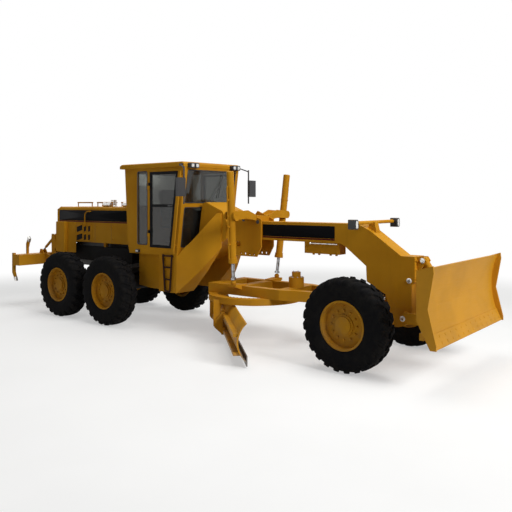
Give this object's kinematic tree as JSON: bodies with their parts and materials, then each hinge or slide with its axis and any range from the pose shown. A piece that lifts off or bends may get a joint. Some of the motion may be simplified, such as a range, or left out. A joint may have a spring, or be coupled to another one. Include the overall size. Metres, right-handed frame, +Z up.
{
  "type": "motor grader",
  "caption": "Articulated road grader with a long curved blade under its frame, a push blade in front, a ripper behind and a glazed cab.",
  "frame": {"origin": "on the ground under the middle of the tandem axles, on the machine's centre line", "axes": "+X forward, +Y to the driver's left, +Z up"},
  "size_m": [10.22, 3.2358, 3.131],
  "materials": {
    "yellow_paint": "satin",
    "black_paint": "satin",
    "dark_metal": "matte",
    "tyre": "matte",
    "glass": "gloss",
    "rod_chrome": "polished",
    "bare_steel": "worn",
    "seat_cover": "woven",
    "dark_plastic": "matte",
    "ladder_paint": "satin"
  },
  "bodies": {
    "rear_frame": {"rear_frame": "yellow_paint", "rear_axle": "yellow_paint", "engine_block": "dark_metal", "engine_hood": "yellow_paint", "radiator_cowl": "yellow_paint", "hood_rails": "yellow_paint", "exhaust_and_intake": "bare_steel", "ripper_mount": "yellow_paint"},
    "front_frame": {"front_frame": "yellow_paint", "valve_box": "yellow_paint", "front_axle": "yellow_paint", "cab_shell": "yellow_paint", "cab_roof": "yellow_paint", "cab_glass": "glass", "seat": "seat_cover", "steering_console": "dark_plastic", "side_pods": "yellow_paint", "ladders": "ladder_paint", "handrails": "yellow_paint", "mirrors": "dark_plastic", "lamps": "yellow_paint", "lift_saddle": "yellow_paint"},
    "wheel_front_left": {"tyre_front_left": "tyre", "rim_front_left": "yellow_paint"},
    "wheel_front_right": {"tyre_front_right": "tyre", "rim_front_right": "yellow_paint"},
    "wheel_mid_left": {"tyre_mid_left": "tyre", "rim_mid_left": "yellow_paint"},
    "wheel_mid_right": {"tyre_mid_right": "tyre", "rim_mid_right": "yellow_paint"},
    "wheel_rear_left": {"tyre_rear_left": "tyre", "rim_rear_left": "yellow_paint"},
    "wheel_rear_right": {"tyre_rear_right": "tyre", "rim_rear_right": "yellow_paint"},
    "lean_yoke_left": {"lean_yoke_left": "yellow_paint"},
    "knuckle_left": {"knuckle_left": "yellow_paint"},
    "door_left": {"door_left": "black_paint", "door_glass_left": "glass"},
    "lean_yoke_right": {"lean_yoke_right": "yellow_paint"},
    "knuckle_right": {"knuckle_right": "yellow_paint"},
    "door_right": {"door_right": "black_paint", "door_glass_right": "glass"},
    "drawbar_ball": {"drawbar_ball": "bare_steel"},
    "drawbar": {"drawbar": "yellow_paint"},
    "circle": {"circle": "yellow_paint"},
    "blade_carrier": {"blade_carrier": "yellow_paint"},
    "moldboard": {"moldboard": "yellow_paint", "cutting_edge": "bare_steel"},
    "lift_barrel_left": {"lift_barrel_left": "yellow_paint"},
    "lift_rod_left": {"lift_rod_left": "rod_chrome"},
    "lift_barrel_right": {"lift_barrel_right": "yellow_paint"},
    "lift_rod_right": {"lift_rod_right": "rod_chrome"},
    "push_blade": {"push_blade": "yellow_paint"},
    "push_lift_barrel": {"push_lift_barrel": "yellow_paint"},
    "push_lift_rod": {"push_lift_rod": "rod_chrome"},
    "ripper_beam": {"ripper_beam": "yellow_paint", "ripper_shanks": "yellow_paint"},
    "ripper_barrels": {"ripper_barrels": "yellow_paint"},
    "ripper_rods": {"ripper_rods": "rod_chrome"}
  },
  "joints": [
    {"name": "articulation", "type": "hinge", "parent": "rear_frame", "child": "front_frame", "pos_m": [0.85, 0, 1.255], "axis": [0, 0, 1], "range_deg": [-20, 20]},
    {"name": "roll_front_left", "type": "hinge", "parent": "knuckle_left", "child": "wheel_front_left", "pos_m": [6.085, 1.045, 0.67], "axis": [0, 1, 0], "continuous": true},
    {"name": "roll_front_right", "type": "hinge", "parent": "knuckle_right", "child": "wheel_front_right", "pos_m": [6.085, -1.045, 0.67], "axis": [0, 1, 0], "continuous": true},
    {"name": "roll_mid_left", "type": "hinge", "parent": "rear_frame", "child": "wheel_mid_left", "pos_m": [0.7615, 1.045, 0.67], "axis": [0, 1, 0], "continuous": true},
    {"name": "roll_mid_right", "type": "hinge", "parent": "rear_frame", "child": "wheel_mid_right", "pos_m": [0.7615, -1.045, 0.67], "axis": [0, 1, 0], "continuous": true},
    {"name": "roll_rear_left", "type": "hinge", "parent": "rear_frame", "child": "wheel_rear_left", "pos_m": [-0.7615, 1.045, 0.67], "axis": [0, 1, 0], "continuous": true},
    {"name": "roll_rear_right", "type": "hinge", "parent": "rear_frame", "child": "wheel_rear_right", "pos_m": [-0.7615, -1.045, 0.67], "axis": [0, 1, 0], "continuous": true},
    {"name": "lean_left", "type": "hinge", "parent": "front_frame", "child": "lean_yoke_left", "pos_m": [6.085, 0.7, 0.67], "axis": [1, 0, 0], "range_deg": [-18, 18]},
    {"name": "steer_left", "type": "hinge", "parent": "lean_yoke_left", "child": "knuckle_left", "pos_m": [6.085, 0.925, 0.67], "axis": [0, 0, 1], "range_deg": [-45, 45]},
    {"name": "door_left_hinge", "type": "hinge", "parent": "front_frame", "child": "door_left", "pos_m": [1.592, 0.7653, 2.25], "axis": [0, 0, 1], "range_deg": [0, 80]},
    {"name": "lean_right", "type": "hinge", "parent": "front_frame", "child": "lean_yoke_right", "pos_m": [6.085, -0.7, 0.67], "axis": [1, 0, 0], "range_deg": [-18, 18]},
    {"name": "steer_right", "type": "hinge", "parent": "lean_yoke_right", "child": "knuckle_right", "pos_m": [6.085, -0.925, 0.67], "axis": [0, 0, 1], "range_deg": [-45, 45]},
    {"name": "door_right_hinge", "type": "hinge", "parent": "front_frame", "child": "door_right", "pos_m": [1.592, -0.7653, 2.25], "axis": [0, 0, -1], "range_deg": [0, 80]},
    {"name": "drawbar_swing", "type": "hinge", "parent": "front_frame", "child": "drawbar_ball", "pos_m": [6.17, 0, 0.86], "axis": [0, 0, 1], "range_deg": [-4, 4]},
    {"name": "blade_lift", "type": "hinge", "parent": "drawbar_ball", "child": "drawbar", "pos_m": [6.17, 0, 0.86], "axis": [0, 1, 0], "range_deg": [-16, 5.4]},
    {"name": "circle_turn", "type": "hinge", "parent": "drawbar", "child": "circle", "pos_m": [3.6, 0, 0.72], "axis": [0, 0, 1], "range_deg": [-82, 15]},
    {"name": "blade_tip", "type": "hinge", "parent": "circle", "child": "blade_carrier", "pos_m": [3.09532, -0.5412, 0.32], "axis": [-0.7314, 0.682, 0], "range_deg": [-5, 40]},
    {"name": "blade_side_shift", "type": "slide", "parent": "blade_carrier", "child": "moldboard", "axis": [0.7314, -0.682, 0], "range_m": [-1.13, 0.04]},
    {"name": "lift_trunnion_left", "type": "hinge", "parent": "front_frame", "child": "lift_barrel_left", "pos_m": [3.65505, 0.73622, 2.16], "axis": [1, 0, 0], "range_deg": [-9, 9]},
    {"name": "lift_rod_left_slide", "type": "slide", "parent": "lift_barrel_left", "child": "lift_rod_left", "axis": [0.0476, 0.1004, 0.9938], "range_m": [-0.72, 0.25]},
    {"name": "lift_trunnion_right", "type": "hinge", "parent": "front_frame", "child": "lift_barrel_right", "pos_m": [3.65505, -0.73622, 2.16], "axis": [1, 0, 0], "range_deg": [-9, 9]},
    {"name": "lift_rod_right_slide", "type": "slide", "parent": "lift_barrel_right", "child": "lift_rod_right", "axis": [0.0476, -0.1004, 0.9938], "range_m": [-0.72, 0.25]},
    {"name": "push_lift", "type": "hinge", "parent": "front_frame", "child": "push_blade", "pos_m": [6.56, 0, 0.69], "axis": [0, -1, 0], "range_deg": [-36, 8]},
    {"name": "push_barrel_hinge", "type": "hinge", "parent": "front_frame", "child": "push_lift_barrel", "pos_m": [6.78, 0, 1.535], "axis": [0, -1, 0], "range_deg": [-20, 20]},
    {"name": "push_rod_slide", "type": "slide", "parent": "push_lift_barrel", "child": "push_lift_rod", "axis": [0.5688, 0, -0.8225], "range_m": [-0.12, 0.45]},
    {"name": "ripper_lift", "type": "hinge", "parent": "rear_frame", "child": "ripper_beam", "pos_m": [-1.98, 0, 1.01], "axis": [0, 1, 0], "range_deg": [-40, 10]},
    {"name": "ripper_barrel_hinge", "type": "hinge", "parent": "rear_frame", "child": "ripper_barrels", "pos_m": [-2.03, 0, 1.6], "axis": [0, 1, 0], "range_deg": [-22, 8]},
    {"name": "ripper_rod_slide", "type": "slide", "parent": "ripper_barrels", "child": "ripper_rods", "axis": [-0.808, 0, -0.5892], "range_m": [-0.09, 0.31]}
  ],
  "couplings": [
    {"joint": "lean_right", "follows": "lean_left", "ratio": 1},
    {"joint": "steer_right", "follows": "steer_left", "ratio": 1},
    {"joint": "lift_trunnion_left", "follows": "drawbar_swing", "ratio": -2.2},
    {"joint": "lift_rod_left_slide", "follows": "blade_lift", "m_per_rad": 2.55},
    {"joint": "lift_trunnion_right", "follows": "drawbar_swing", "ratio": -2.2},
    {"joint": "lift_rod_right_slide", "follows": "blade_lift", "m_per_rad": 2.55},
    {"joint": "push_barrel_hinge", "follows": "push_lift", "ratio": 0.2},
    {"joint": "push_rod_slide", "follows": "push_lift", "m_per_rad": -0.62},
    {"joint": "ripper_barrel_hinge", "follows": "ripper_lift", "ratio": 0.48},
    {"joint": "ripper_rod_slide", "follows": "ripper_lift", "m_per_rad": -0.42}
  ]
}
